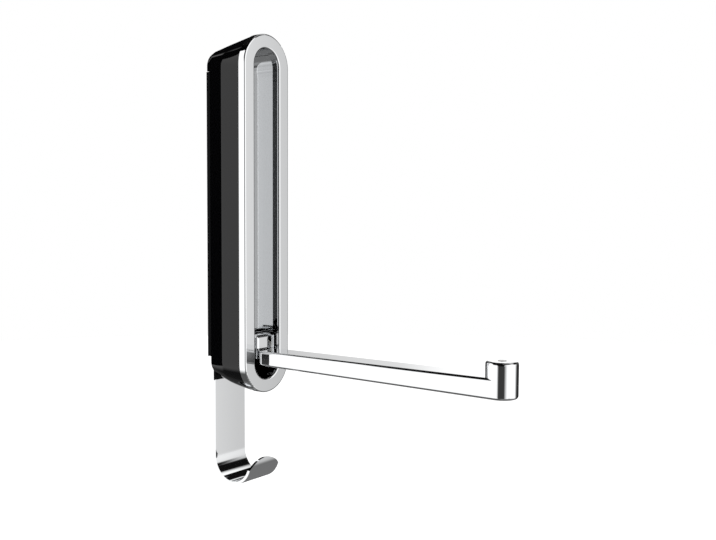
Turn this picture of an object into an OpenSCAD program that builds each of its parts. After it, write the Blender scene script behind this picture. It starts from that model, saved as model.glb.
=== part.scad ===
// Wall mounted clothes valet: a slim body on the wall with a folding hanger arm and a coat hook.
// Frame: the wall is the plane y = 0, the front looks towards -y, +z is up, x runs across.
// The origin lies on the wall, level with the middle of the body. All sizes are millimetres.
// The arm is drawn folded out; it turns up about the hinge pin into the recess of the body.

/* [Body] */
// Width of the trim ring and the widest width of the housing
body_w = 56.6; // [50:0.2:64]
// Height of the trim ring
body_h = 320; // [290:1:360]
// Distance from the wall to the front face of the trim ring
body_d = 50; // [46:0.5:56]
// Thickness of the trim ring, front to back
ring_t = 7.4; // [6:0.1:9]
// Width of the rim of the trim ring
rim_w = 12.5; // [12:0.1:13.5]
// Radius on the front edges of the trim ring
ring_edge_r = 1.4; // [0.6:0.1:2]

/* [Housing] */
// Wall thickness of the housing shell
shell_t = 2.2; // [1.6:0.1:2.6]
// Depth of the straight part of the housing, behind the ring
shell_straight_d = 22; // [16:0.5:24]
// How much each end of the housing draws in at the wall
end_draw = 12.5; // [8:0.5:16]
// How much each side of the housing draws in at the wall
side_draw = 2; // [1:0.1:3]
// Corner radius of the housing at the wall
back_corner_r = 14; // [10:0.5:20]
// How far the ring stands proud of the housing all round
ring_lip = 0.4; // [0.2:0.1:1]

/* [Wall plate] */
// Thickness of the wall plate
plate_t = 4; // [3.6:0.1:5]
// Height from the top of the wall plate to the top of the body
plate_top_gap = 32; // [28:1:38]
// Height of the wall plate's lower end above the underside of the arm
plate_lift = 5.6; // [4:0.1:8]
// Height from the upper wall screw to the top of the wall plate
wall_screw_in = 16; // [12:1:24]
// Distance between the wall screws as a share of the body's height
wall_screw_share = 0.53125; // [0.45:0.005:0.55]
// Radius of the wall screw holes
wall_hole_r = 2.6; // [2:0.1:3]

/* [Recess] */
// Thickness of the recess liner sheet
liner_t = 1; // [0.8:0.1:1.2]
// Clearance between the top of the folded post and the liner floor
post_gap = 0.7; // [0.5:0.1:1.5]
// Height of the liner's lower end above the pin
liner_end_up = 13.5; // [13:0.5:18]

/* [Arm] */
// Clearance all round between the folded arm and the opening of the ring
fold_gap = 3.3; // [2.6:0.1:4]
// Drop from the origin to the underside of the arm as a share of the body's height
arm_drop_share = 0.4197; // [0.4:0.001:0.43]
// Height of the arm at its root
arm_root_h = 13.2; // [12:0.1:14]
// Height of the arm beside the post
arm_tip_h = 16; // [14:0.1:18]
// Height of the post from the underside of the arm
post_h = 28.2; // [24:0.1:30]
// Radius on the long edges of the arm and the ends of the post
arm_edge_r = 2.2; // [1:0.1:3]
// Diameter of the magnet in the top of the post
magnet_dia = 6.5; // [5:0.5:8]
// Thickness of the magnet
magnet_t = 3; // [2:0.5:5]

/* [Hinge] */
// Height of the pin above the underside of the arm as a share of the body's depth
pin_offset_share = 0.272; // [0.26:0.002:0.28]
// Radius of the hinge pin
pin_r = 3; // [2.5:0.1:3.4]
// Height of the knuckle above the pin as a share of the pin's height in the arm
knuckle_top_share = 0.904; // [0.85:0.005:0.93]
// Distance from the pin to the flat front of the knuckle as a share of the pin's height in the arm
knuckle_front_share = 0.61; // [0.55:0.01:0.66]
// Width of the knuckle as a share of the opening of the ring
knuckle_w_share = 0.519; // [0.48:0.005:0.54]
// Radius on the edges of the knuckle
knuckle_edge_r = 3; // [1:0.1:3.5]
// Radius of the hollow where the knuckle rises from the arm
knuckle_foot_r = 1.9; // [1:0.1:1.9]
// Wall of the bushes pressed into the knuckle
bush_t = 1; // [0.8:0.1:1.5]
// Thickness of the thrust flange of each bush
flange_t = 1; // [0.6:0.1:1.2]
// Thickness of the washers between the flanges and the ears
washer_t = 1.6; // [1:0.1:1.8]
// Room beside each ear of the bracket for the ends of the pin
ear_side_room = 2.8; // [2.6:0.1:3.4]

/* [Coat hook] */
// Width of the coat hook strip
hook_w = 38; // [30:0.5:44]
// Thickness of the coat hook strip
hook_t = 2.5; // [2:0.1:2.8]
// Drop from the underside of the arm to the centre of the hook's bend
hook_drop = 87.7; // [70:0.1:110]
// Outer radius of the hook's bend
hook_r = 23.5; // [18:0.5:28]
// Rise of the rounded end of the hook
hook_tip_rise = 9; // [5:0.5:14]

/* [Fits] */
// Radial clearance of the pin in the bushes
run_gap = 0.05; // [0.02:0.01:0.1]
// Clearance of screws, pin and clip in the piece that grips them
grip_gap = 0.05; // [0.02:0.01:0.1]
// Clearance between fixed pieces that slip together
slip_gap = 0.2; // [0.1:0.05:0.3]
// Play on each side of every washer and flange on the pin
side_play = 0.1; // [0.05:0.01:0.15]
// Clearance between the swinging arm and the pieces that it passes
swing_gap = 0.3; // [0.3:0.05:0.5]

/* [Hidden] */

// Steps of a full circle, and sections of the housing in front of and behind the end of its straight part
fine_steps = 96;
shell_parts = 4;
// Overrun of every cut, depth to which joined shapes of one piece reach into each other, and the
// thickness of a section that a hull joins
over = 1;
bite = 1;
skin = 0.02;

// Colours
black_gloss = [0.05, 0.05, 0.055];
black_paint = [0.09, 0.09, 0.095];
chrome = [0.86, 0.87, 0.88];
steel = [0.62, 0.63, 0.65];
nylon = [0.88, 0.87, 0.83];
rubber_black = [0.08, 0.08, 0.08];
magnet_grey = [0.25, 0.25, 0.27];

// Opening of the ring, and the planes that the body is stacked on (all are -y distances)
open_w = body_w - 2 * rim_w;
open_h = body_h - 2 * rim_w;
front_y = -body_d;
ring_back_y = front_y + ring_t;
shell_back_y = -plate_t;
floor_y = front_y + post_h + post_gap;

// The folded arm is centred in the opening, which sets where the pin and the arm's ends lie
arm_w = open_w - 2 * fold_gap;
pin_offset = body_d * pin_offset_share;
folded_top_z = open_h / 2 - fold_gap;
folded_end_z = -folded_top_z;
arm_under_z = -body_h * arm_drop_share;
pin_z = arm_under_z + pin_offset;
pin_y = front_y + pin_offset;
post_r = arm_w / 2;
post_y = pin_y - (folded_top_z - pin_z) + post_r;
tail_reach = pin_z - folded_end_z;
arm_root_z = arm_under_z + arm_root_h;

// Knuckle, and the circle that its highest edge sweeps when the arm swings
knuckle_w = open_w * knuckle_w_share;
knuckle_top = pin_offset * knuckle_top_share;
knuckle_front = pin_offset * knuckle_front_share;
sweep_r = norm([knuckle_front - knuckle_edge_r, knuckle_top - knuckle_edge_r]) + knuckle_edge_r;

// Pieces threaded on the pin
bush_r = pin_r + run_gap + bush_t;
flange_r = knuckle_front - knuckle_edge_r;
washer_r = 5.8;
cup_t = 0.8;
cup_sheet_t = 0.5;
clip_t = 0.8;
clip_r = 5.2;
groove_depth = 0.6;
pin_head_t = 1.2;
pin_head_r = 5;
pin_tail = 1;

// Bracket: two ears and a cross web on a base
liner_out_w = open_w + 2 * liner_t;
liner_low_z = pin_z + liner_end_up;
ear_in_x = knuckle_w / 2 + flange_t + washer_t + 2 * side_play;
ear_out_x = liner_out_w / 2 - ear_side_room;
ear_corner = 1;
web_gap = 0.8;
web_top_z = liner_low_z - web_gap;
web_front_y = pin_y + sweep_r + 2 * swing_gap;
base_t = 3;
base_rise = 40;
base_inset = 1;
base_w = 2 * ear_out_x;
base_front_y = shell_back_y - base_t;
base_top_z = pin_z + base_rise;
plate_low_z = arm_under_z + plate_lift;
base_low_z = plate_low_z + base_inset;
plate_up_z = body_h / 2 - plate_top_gap;

// The bar of the arm starts ahead of the ears, whose upper front corners are cut round the pin
ear_r = web_top_z - pin_z + ear_corner;
shoulder_y = pin_y - ear_r - swing_gap;
neck_w = arm_w - 2 * arm_edge_r - slip_gap;
neck_back_y = pin_y - washer_r - swing_gap;

// Stop pad above the tail of the arm
pad_t = 2;
pad_gap = 0.15;
pad_inset = 1.6;
pad_y = pin_y + knuckle_top + pad_inset;
pad_l = tail_reach - knuckle_top - 2 * pad_inset;

// Screws
wall_head_r = 5.2;
screw_r = 2;
head_r = 3.8;
head_t = 2.1;
screw_x = 8;
hook_screw_rise = 4;
hook_screw_z = pin_z + hook_screw_rise;
base_screw_in = 7;
bracket_screw_z = base_top_z - base_screw_in;
ring_screw_r = 1.4;
ring_head_r = 2.6;
ring_head_t = 1.8;
ring_screw_bite = 4.6;

// Coat hook
hook_overlap = 34;
hook_end_rise = 1.5;
hook_top_z = plate_low_z + hook_overlap;
hook_z = arm_under_z - hook_drop;
hook_tip_z = hook_z + hook_end_rise;

// Outline of a slot shape w wide and h tall, round at both ends
module slot_2d(w, h, steps) {
    for (s = [-1, 1]) translate([0, s * (h - w) / 2]) circle(d = w, $fn = steps);
    square([w, h - w], center = true);
}

// Outline of a rectangle with round corners
module round_rect_2d(w, h, r, steps) {
    for (sx = [-1, 1], sy = [-1, 1])
        translate([sx * (w / 2 - r), sy * (h / 2 - r)]) circle(r = r, $fn = steps);
    square([w - 2 * r, h], center = true);
    square([w, h - 2 * r], center = true);
}

// Outline w wide from y0 to y1, with round corners at the y1 end only
module round_end_2d(w, y0, y1, r) {
    s = sign(y1 - y0);
    for (sx = [-1, 1]) translate([sx * (w / 2 - r), y1 - s * r]) circle(r = r, $fn = fine_steps);
    translate([-w / 2 + r, min(y0, y1)]) square([w - 2 * r, abs(y1 - y0)]);
    translate([-w / 2, min(y0, y1 - s * r)]) square([w, abs(y1 - y0) - r]);
}

// Square of side r less a quarter circle, which fills the corner where two faces meet
module hollow_corner_2d(r) {
    difference() {
        translate([-bite, -bite]) square([r + bite, r + bite]);
        translate([r, r]) circle(r = r, $fn = fine_steps);
    }
}

// Stands a flat outline (x, z) up and gives it depth, from plane y0 back to plane y1
module plate_between(y0, y1) {
    translate([0, y1, 0]) rotate([90, 0, 0]) linear_extrude(height = y1 - y0) children();
}

// Places an outline drawn in (y, z) at the pin and gives it width along x, from x0 to x1
module at_pin(x0, x1) {
    translate([x0, pin_y, pin_z]) rotate([90, 0, 90]) linear_extrude(height = x1 - x0) children();
}

// Lays a rod along x from x0 to x1 on the pin's line
module on_pin(x0, x1, r) {
    translate([x0, pin_y, pin_z]) rotate([0, 90, 0]) cylinder(h = x1 - x0, r = r, $fn = fine_steps);
}

// Round hole or rod along y at (x, z) from plane y0 back to plane y1, r at the front
module along_y(x, z, y0, y1, r, r_back) {
    translate([x, y1, z]) rotate([90, 0, 0]) cylinder(h = y1 - y0, r1 = r_back, r2 = r, $fn = fine_steps);
}

// Section of the housing at depth d behind the ring. The ends and corners draw in along a curve
// from the ring on, and the sides only behind the end of the straight part.
shell_d = shell_back_y - ring_back_y;
module shell_section(d, inset) {
    t = pow(d / shell_d, 2);
    s = max(0, (d - shell_straight_d) / (shell_d - shell_straight_d));
    w = body_w - 2 * ring_lip - 2 * side_draw * s;
    h = body_h - 2 * ring_lip - 2 * end_draw * t;
    r = w / 2 + (back_corner_r - w / 2) * t;
    plate_between(ring_back_y + d, ring_back_y + d + skin)
        round_rect_2d(w - 2 * inset, h - 2 * inset, r - inset, fine_steps);
}

// Convex form of the housing, drawn in by inset
module shell_form(inset) {
    hull() {
        for (i = [0 : shell_parts]) shell_section(shell_straight_d * i / shell_parts, inset);
        for (i = [1 : shell_parts])
            shell_section(shell_straight_d + (shell_d - shell_straight_d) * i / shell_parts, inset);
    }
}

// Places of the screws that hold the ring, as (x, z)
ring_screw_x = (open_w + rim_w) / 2;
ring_screw_z = open_h / 2 + rim_w / 2;
ring_screw_places = [[-ring_screw_x, body_h / 4], [ring_screw_x, body_h / 4],
                     [-ring_screw_x, -body_h / 4], [ring_screw_x, -body_h / 4],
                     [0, ring_screw_z], [0, -ring_screw_z]];

// Flange of the liner that the ring traps against the housing
liner_flange_w = 2;

// Snap lugs of the housing, which catch in notches of the wall plate
lug_w = 12;
lug_t = 2;
lug_reach = 3;
lug_catch = 2.6;
lug_z_share = 0.27;
lug_root_share = 0.7;
lug_x = body_w / 2 - ring_lip - side_draw - shell_t;

// Gap between the back edge of the housing and the wall plate
back_gap = 0.04;

// Moulded shell: front wall with the opening, side walls drawn in towards the wall
module housing() {
    color(black_gloss) {
        difference() {
            shell_form(0);
            intersection() {
                shell_form(shell_t);
                plate_between(ring_back_y + shell_t, over) square([body_w, body_h], center = true);
            }
            plate_between(shell_back_y - back_gap, over) square([body_w, body_h], center = true);
            plate_between(ring_back_y - over, ring_back_y + shell_t + over)
                slot_2d(liner_out_w + 2 * slip_gap, open_h + 2 * (liner_t + slip_gap), fine_steps);
            plate_between(ring_back_y - over, ring_back_y + liner_t + grip_gap)
                slot_2d(liner_out_w + 2 * (liner_flange_w + slip_gap),
                        open_h + 2 * (liner_t + liner_flange_w + slip_gap), fine_steps);
            for (p = ring_screw_places)
                along_y(p[0], p[1], ring_back_y - over, ring_back_y + shell_t + over,
                        ring_screw_r + slip_gap, ring_screw_r + slip_gap);
        }
        for (s = [0, 1], sz = [-1, 1]) mirror([s, 0, 0])
            translate([lug_x - lug_t, shell_back_y - lug_reach, sz * body_h * lug_z_share - lug_w / 2]) {
                cube([lug_t, lug_reach + lug_catch, lug_w]);
                cube([lug_t + shell_t * lug_root_share, lug_reach - back_gap, lug_w]);
            }
    }
}

// Half section of the ring: one rim with round front edges, run along both sides and round both ends
module rim_profile() {
    for (s = [ring_edge_r, rim_w - ring_edge_r]) translate([s, ring_t - ring_edge_r])
        circle(r = ring_edge_r, $fn = fine_steps);
    translate([ring_edge_r, 0]) square([rim_w - 2 * ring_edge_r, ring_t]);
    square([rim_w, ring_t - ring_edge_r]);
}

// Plated trim ring
module trim_ring() {
    straight_h = body_h - body_w;
    color(chrome) difference() {
        translate([0, ring_back_y, 0]) rotate([90, 0, 0]) for (s = [0, 1]) rotate([0, 0, s * 180]) {
            translate([0, straight_h / 2, 0]) rotate_extrude(angle = 180, $fn = fine_steps)
                translate([open_w / 2, 0]) rim_profile();
            translate([0, straight_h / 2, 0]) rotate([90, 0, 0]) linear_extrude(height = straight_h)
                translate([open_w / 2, 0]) rim_profile();
        }
        for (p = ring_screw_places)
            along_y(p[0], p[1], ring_back_y - ring_screw_bite - slip_gap, ring_back_y + over,
                    ring_screw_r + grip_gap, ring_screw_r + grip_gap);
    }
}

// Polished trough of the recess, open at its lower end where the hinge sits
module recess_liner() {
    color(chrome) difference() {
        union() {
            plate_between(ring_back_y, floor_y + liner_t)
                slot_2d(liner_out_w, open_h + 2 * liner_t, fine_steps);
            plate_between(ring_back_y, ring_back_y + liner_t)
                slot_2d(liner_out_w + 2 * liner_flange_w, open_h + 2 * (liner_t + liner_flange_w),
                        fine_steps);
        }
        plate_between(ring_back_y - over, floor_y) slot_2d(open_w, open_h, fine_steps);
        translate([0, 0, liner_low_z - body_h / 2])
            plate_between(front_y, 0) square([body_w, body_h], center = true);
    }
}

// Cast plate that is screwed to the wall and carries the hinge bracket and the coat hook
module wall_plate() {
    plate_w = body_w - 2 * ring_lip - 2 * side_draw;
    screw_top_z = plate_up_z - wall_screw_in;
    color(black_paint) difference() {
        plate_between(shell_back_y, 0) translate([-plate_w / 2, plate_low_z])
            square([plate_w, plate_up_z - plate_low_z]);
        for (z = [screw_top_z, screw_top_z - body_h * wall_screw_share]) {
            along_y(0, z, shell_back_y - over, over, wall_hole_r, wall_hole_r);
            along_y(0, z, shell_back_y - skin, shell_back_y + plate_t / 2, wall_head_r, wall_hole_r);
        }
        for (sx = [-1, 1], sz = [-1, 1])
            translate([sx * (lug_x - lug_t / 2), 0, sz * body_h * lug_z_share])
                plate_between(shell_back_y - over, over)
                    square([lug_t + 2 * slip_gap, lug_w + 2 * slip_gap], center = true);
        plate_between(-hook_t - slip_gap, over) translate([-hook_w / 2 - slip_gap, plate_low_z - over])
            square([hook_w + 2 * slip_gap, hook_overlap + over + slip_gap]);
        for (sx = [-1, 1], z = [hook_screw_z, bracket_screw_z])
            along_y(sx * screw_x, z, shell_back_y - over, over, screw_r + slip_gap, screw_r + slip_gap);
        for (sx = [-1, 1])
            along_y(sx * screw_x, bracket_screw_z, -head_t - slip_gap, skin, screw_r + slip_gap,
                    head_r + slip_gap);
    }
}

// Outline of one ear in (y, z), drawn with the pin at its origin: flat in front like the knuckle, and
// cut round the pin at its upper front corner to let the arm swing past
module ear_2d() {
    high = web_top_z - pin_z;
    back = base_front_y - pin_y + bite;
    intersection() {
        circle(r = ear_r, $fn = fine_steps);
        translate([-knuckle_front, -knuckle_front]) square([knuckle_front + bite, high + knuckle_front]);
    }
    polygon([[0, high], [back, high], [back, base_low_z - pin_z], [0, -knuckle_front]]);
}

// Two ears on a base, with a cross web above the tail of the arm that takes the load
module hinge_bracket() {
    web_low_z = arm_root_z + pad_gap + pad_t;
    color(steel) difference() {
        union() {
            for (s = [0, 1]) mirror([s, 0, 0]) at_pin(ear_in_x, ear_out_x) ear_2d();
            plate_between(base_front_y, shell_back_y) translate([-base_w / 2, base_low_z])
                square([base_w, base_top_z - base_low_z]);
            plate_between(web_front_y, base_front_y + bite) translate([-ear_in_x - bite, web_low_z])
                square([2 * (ear_in_x + bite), web_top_z - web_low_z]);
        }
        on_pin(-base_w, base_w, pin_r + grip_gap);
        for (sx = [-1, 1], z = [hook_screw_z, bracket_screw_z])
            along_y(sx * screw_x, z, base_front_y - over, over, screw_r + grip_gap, screw_r + grip_gap);
    }
}

// Pad that the tail of the arm comes to rest on when the arm is down
module stop_pad() {
    color(rubber_black)
        translate([-knuckle_w / 2, pad_y, arm_root_z + pad_gap]) cube([knuckle_w, pad_l, pad_t]);
}

// Tapered bar from the shoulders to the post, rounded below, above and at the corners of its root
module arm_bar() {
    run = shoulder_y - post_y;
    tall = 2 * arm_tip_h;
    difference() {
        intersection() {
            plate_between(post_y, shoulder_y)
                round_end_2d(arm_w, arm_under_z + tall, arm_under_z, arm_edge_r);
            translate([0, shoulder_y, arm_root_z]) rotate([-atan((arm_tip_h - arm_root_h) / run), 0, 0])
                plate_between(-2 * run, run) round_end_2d(arm_w, -tall, 0, arm_edge_r);
        }
        for (s = [0, 1]) mirror([s, 0, 0])
            translate([arm_w / 2 - arm_edge_r, shoulder_y - arm_edge_r, arm_under_z - over])
                linear_extrude(height = tall) difference() {
                    square([arm_edge_r + over, arm_edge_r + over]);
                    circle(r = arm_edge_r, $fn = fine_steps);
                }
    }
}

// Round post with softened ends, which stops hangers from sliding off
module post() {
    r = arm_edge_r;
    translate([0, post_y, arm_under_z]) rotate_extrude($fn = fine_steps) {
        for (z = [r, post_h - r]) translate([post_r - r, z]) circle(r = r, $fn = fine_steps);
        square([post_r - r, post_h]);
        translate([0, r]) square([post_r, post_h - 2 * r]);
    }
}

// Side outline of the knuckle in (y, z) round the pin: flat in front, round above and behind
module knuckle_2d() {
    intersection() {
        circle(r = knuckle_top, $fn = fine_steps);
        translate([-bite, -knuckle_top]) square([knuckle_top + bite, 2 * knuckle_top]);
    }
    translate([-knuckle_front + knuckle_edge_r, knuckle_top - knuckle_edge_r])
        circle(r = knuckle_edge_r, $fn = fine_steps);
    translate([-knuckle_front + knuckle_edge_r, -knuckle_front])
        square([knuckle_front - knuckle_edge_r, knuckle_top + knuckle_front]);
    translate([-knuckle_front, -knuckle_front])
        square([knuckle_front, knuckle_top + knuckle_front - knuckle_edge_r]);
}

// Knuckle that the pin runs through, its front and upper edges rounded
module knuckle() {
    intersection() {
        at_pin(-knuckle_w, knuckle_w) knuckle_2d();
        translate([0, pin_y, arm_under_z]) linear_extrude(height = pin_offset + knuckle_top + over)
            round_end_2d(knuckle_w, knuckle_top + over, -knuckle_front, knuckle_edge_r);
        plate_between(pin_y - knuckle_front - over, pin_y + knuckle_top + over)
            round_end_2d(knuckle_w, arm_under_z, pin_z + knuckle_top, knuckle_edge_r);
    }
}

// Hollow curve where the front and the front corners of the knuckle rise from the arm
module knuckle_foot() {
    half = knuckle_w / 2 - knuckle_edge_r;
    front = pin_y - knuckle_front;
    reach = knuckle_edge_r + knuckle_foot_r;
    translate([-half, front, arm_root_z]) rotate([90, 0, 90]) linear_extrude(height = 2 * half)
        mirror([1, 0]) hollow_corner_2d(knuckle_foot_r);
    intersection() {
        for (sx = [-1, 1]) translate([sx * half, front + knuckle_edge_r, arm_root_z - bite])
            rotate_extrude($fn = fine_steps) difference() {
                square([reach, knuckle_foot_r + bite]);
                translate([reach, knuckle_foot_r + bite]) circle(r = knuckle_foot_r, $fn = fine_steps);
            }
        translate([-neck_w / 2, front - knuckle_foot_r, arm_root_z - bite])
            cube([neck_w, neck_back_y - front + knuckle_foot_r, 2 * bite + knuckle_foot_r]);
    }
}

// Wide neck between the bar and the pin, and the tongue that runs under the pin to the tail
module tongue() {
    tail_y = pin_y + tail_reach;
    half = knuckle_w / 2;
    front = shoulder_y - arm_w / 2;
    plate_between(front, neck_back_y) round_end_2d(neck_w, arm_root_z, arm_under_z, arm_edge_r);
    intersection() {
        translate([0, 0, arm_under_z]) linear_extrude(height = arm_root_h) {
            translate([0, tail_y - half]) circle(r = half, $fn = fine_steps);
            translate([-half, front]) square([knuckle_w, tail_y - half - front]);
        }
        translate([-half, 0, 0]) rotate([90, 0, 90]) linear_extrude(height = knuckle_w) difference() {
            translate([front, arm_under_z]) square([tail_y - front, arm_root_h]);
            translate([tail_y - arm_edge_r, arm_under_z]) difference() {
                square([arm_edge_r, arm_edge_r]);
                translate([0, arm_edge_r]) circle(r = arm_edge_r, $fn = fine_steps);
            }
        }
    }
}

// The arm is one casting: bar, post, knuckle and tail
module arm() {
    magnet_z = arm_under_z + post_h - magnet_t;
    color(chrome) difference() {
        union() {
            arm_bar();
            post();
            knuckle();
            knuckle_foot();
            tongue();
        }
        on_pin(-knuckle_w, knuckle_w, bush_r);
        translate([0, post_y, magnet_z]) cylinder(h = magnet_t + over, d = magnet_dia, $fn = fine_steps);
    }
}

// Magnet that holds the folded arm against the liner floor
module tip_magnet() {
    color(magnet_grey) translate([0, post_y, arm_under_z + post_h - magnet_t])
        cylinder(h = magnet_t + slip_gap, d = magnet_dia, $fn = fine_steps);
}

// Pin with a head on one side and a groove for its clip on the other
pin_head_x = -(ear_out_x + cup_t + 2 * grip_gap);
clip_x = ear_out_x + grip_gap;
module hinge_pin() {
    color(steel) difference() {
        union() {
            on_pin(pin_head_x, clip_x + clip_t + pin_tail, pin_r);
            on_pin(pin_head_x - pin_head_t, pin_head_x, pin_head_r);
        }
        difference() {
            on_pin(clip_x - grip_gap, clip_x + clip_t + grip_gap, pin_r + over);
            on_pin(clip_x - over, clip_x + clip_t + over, pin_r - groove_depth);
        }
    }
}

// Two flanged bushes pressed into the knuckle from its sides
module pin_bushes() {
    color(nylon) for (s = [0, 1]) mirror([s, 0, 0]) difference() {
        union() {
            on_pin(slip_gap, knuckle_w / 2, bush_r);
            on_pin(knuckle_w / 2, knuckle_w / 2 + flange_t, flange_r);
        }
        on_pin(-over, knuckle_w, pin_r + run_gap);
    }
}

// Washers between the flanges of the bushes and the ears
module plain_washers() {
    color(steel) for (s = [0, 1]) mirror([s, 0, 0]) difference() {
        on_pin(ear_in_x - side_play - washer_t, ear_in_x - side_play, washer_r);
        on_pin(0, ear_in_x, pin_r + slip_gap);
    }
}

// Cupped spring washer under the pin's head, which takes up the play of the pin
module spring_washer() {
    bore = pin_r + slip_gap;
    color(steel) translate([pin_head_x + grip_gap, pin_y, pin_z]) rotate([0, 90, 0])
        rotate_extrude($fn = fine_steps)
            polygon([[bore, 0], [bore, cup_sheet_t], [washer_r, cup_t], [washer_r, cup_t - cup_sheet_t]]);
}

// Spring clip in the pin's groove, open on one side
module pin_clip() {
    color(steel) difference() {
        on_pin(clip_x, clip_x + clip_t, clip_r);
        on_pin(clip_x - over, clip_x + clip_t + over, pin_r - groove_depth + grip_gap);
        translate([clip_x - over, pin_y - pin_r / 2, pin_z - clip_r - over])
            cube([clip_t + 2 * over, pin_r, clip_r + over]);
    }
}

// Side view of the coat hook: flat strip, round bend and a short upright end
module hook_side_2d() {
    translate([-hook_t, hook_z]) square([hook_t, hook_top_z - hook_z]);
    translate([-hook_r, hook_z]) difference() {
        circle(r = hook_r, $fn = fine_steps);
        circle(r = hook_r - hook_t, $fn = fine_steps);
        translate([-hook_r - over, 0]) square([2 * (hook_r + over), hook_r + over]);
    }
    translate([-2 * hook_r, hook_z]) square([hook_t, hook_end_rise]);
}

// Polished strip bent to a hook, its end cut to a flat arc
module coat_hook() {
    tip_r = (pow(hook_w / 2, 2) + pow(hook_tip_rise, 2)) / (2 * hook_tip_rise);
    color(chrome) difference() {
        translate([-hook_w / 2, 0, 0]) rotate([90, 0, 90]) linear_extrude(height = hook_w) hook_side_2d();
        plate_between(-2 * hook_r - over, -hook_r) difference() {
            translate([-hook_w, hook_tip_z - hook_tip_rise]) square([2 * hook_w, 2 * hook_tip_rise]);
            translate([0, hook_tip_z - tip_r]) circle(r = tip_r, $fn = fine_steps);
        }
        for (sx = [-1, 1]) {
            along_y(sx * screw_x, hook_screw_z, -hook_t - over, over, screw_r + slip_gap,
                    screw_r + slip_gap);
            along_y(sx * screw_x, hook_screw_z, -head_t - slip_gap, skin, screw_r + slip_gap,
                    head_r + slip_gap);
        }
    }
}

// Pair of countersunk screws at height z, entered from the wall side with their heads flush
module screw_pair(z) {
    color(steel) for (sx = [-1, 1]) {
        along_y(sx * screw_x, z, base_front_y, -head_t, screw_r, screw_r);
        along_y(sx * screw_x, z, -head_t, 0, screw_r, head_r);
    }
}

// Screws through hook, plate and bracket
module hook_screws() { screw_pair(hook_screw_z); }

// Screws through plate and bracket
module bracket_screws() { screw_pair(bracket_screw_z); }

// Screws that pull the ring onto the housing from inside
module ring_screws() {
    head_y = ring_back_y + shell_t;
    color(steel) for (p = ring_screw_places) {
        along_y(p[0], p[1], ring_back_y - ring_screw_bite, head_y, ring_screw_r, ring_screw_r);
        along_y(p[0], p[1], head_y, head_y + ring_head_t, ring_head_r, ring_head_r);
    }
}

wall_plate();
housing();
trim_ring();
recess_liner();
hinge_bracket();
arm();
tip_magnet();
hinge_pin();
pin_bushes();
spring_washer();
plain_washers();
pin_clip();
stop_pad();
coat_hook();
hook_screws();
bracket_screws();
ring_screws();
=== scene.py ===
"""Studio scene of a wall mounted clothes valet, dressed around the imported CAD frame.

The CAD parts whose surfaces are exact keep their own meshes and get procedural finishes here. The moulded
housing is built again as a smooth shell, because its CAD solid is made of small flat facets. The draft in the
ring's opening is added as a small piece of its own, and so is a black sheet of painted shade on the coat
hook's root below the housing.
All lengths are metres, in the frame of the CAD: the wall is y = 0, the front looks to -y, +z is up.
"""

import logging
import math
from dataclasses import dataclass, field
from enum import Enum
from typing import Optional, Sequence, Union

import bmesh
import bpy
from mathutils import Matrix, Vector


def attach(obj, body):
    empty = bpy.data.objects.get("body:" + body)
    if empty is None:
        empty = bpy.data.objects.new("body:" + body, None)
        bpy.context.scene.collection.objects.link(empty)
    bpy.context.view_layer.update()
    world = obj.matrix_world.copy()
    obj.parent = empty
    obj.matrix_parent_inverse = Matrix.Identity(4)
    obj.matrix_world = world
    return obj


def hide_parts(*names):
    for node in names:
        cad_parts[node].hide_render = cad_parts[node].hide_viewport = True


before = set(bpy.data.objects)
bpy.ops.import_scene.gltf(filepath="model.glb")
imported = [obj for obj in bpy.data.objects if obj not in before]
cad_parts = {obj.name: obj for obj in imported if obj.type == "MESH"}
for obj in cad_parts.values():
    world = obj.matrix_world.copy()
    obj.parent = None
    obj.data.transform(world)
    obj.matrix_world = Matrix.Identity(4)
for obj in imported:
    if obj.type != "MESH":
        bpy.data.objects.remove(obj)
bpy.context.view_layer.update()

LOG = logging.getLogger("valet")
MM = 0.001
# Points closer than this are one point of a mesh.
WELD = 0.005 * MM
# Nearly all of a noise lies between these two values.
NOISE_LOW, NOISE_HIGH = 0.35, 0.65

Point = tuple[float, float, float]
Colour = tuple[float, float, float, float]
Stops = tuple[tuple[float, int], ...]
SocketValue = Union[float, Sequence[float], bpy.types.NodeSocket]


class Body(Enum):
    """Body of the CAD frame that the new pieces ride on."""

    WALL = "body"


class Grain(Enum):
    """Direction in which a surface was polished, or the line that it was turned round."""

    ACROSS = (1.0, 0.0, 0.0)
    DEPTH = (0.0, 1.0, 0.0)
    UPRIGHT = (0.0, 0.0, 1.0)


def linear(code: str) -> Colour:
    """Turn an sRGB hex code into a linear colour.

    Args:
        code: Six hex digits with or without a leading #.

    Returns:
        Red, green, blue and an alpha of 1, in linear light.
    """
    digits = code.lstrip("#")
    parts = [int(digits[i : i + 2], 16) / 255 for i in (0, 2, 4)]
    values = [c / 12.92 if c <= 0.04045 else ((c + 0.055) / 1.055) ** 2.4 for c in parts]
    return (values[0], values[1], values[2], 1.0)


def add_node(
    tree: bpy.types.NodeTree,
    kind: str,
    inputs: Optional[dict[Union[str, int], SocketValue]] = None,
    **settings: object,
) -> bpy.types.Node:
    """Add one shader node with its settings, values and links.

    Args:
        tree: Node tree that takes the node.
        kind: Blender's name for the kind of node.
        inputs: Values or output sockets for its inputs, by name or place.
        settings: Attributes of the node itself.

    Returns:
        The new node.
    """
    node = tree.nodes.new(kind)
    for name, value in settings.items():
        setattr(node, name, value)
    for key, value in (inputs or {}).items():
        if isinstance(value, bpy.types.NodeSocket):
            tree.links.new(value, node.inputs[key])
        else:
            node.inputs[key].default_value = value
    return node


def empty_tree(owner: Union[bpy.types.Material, bpy.types.World]) -> bpy.types.NodeTree:
    """Give a material or world an empty node tree.

    Args:
        owner: The material or world.

    Returns:
        Its node tree, without nodes.
    """
    owner.use_nodes = True
    owner.node_tree.nodes.clear()
    return owner.node_tree


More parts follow.
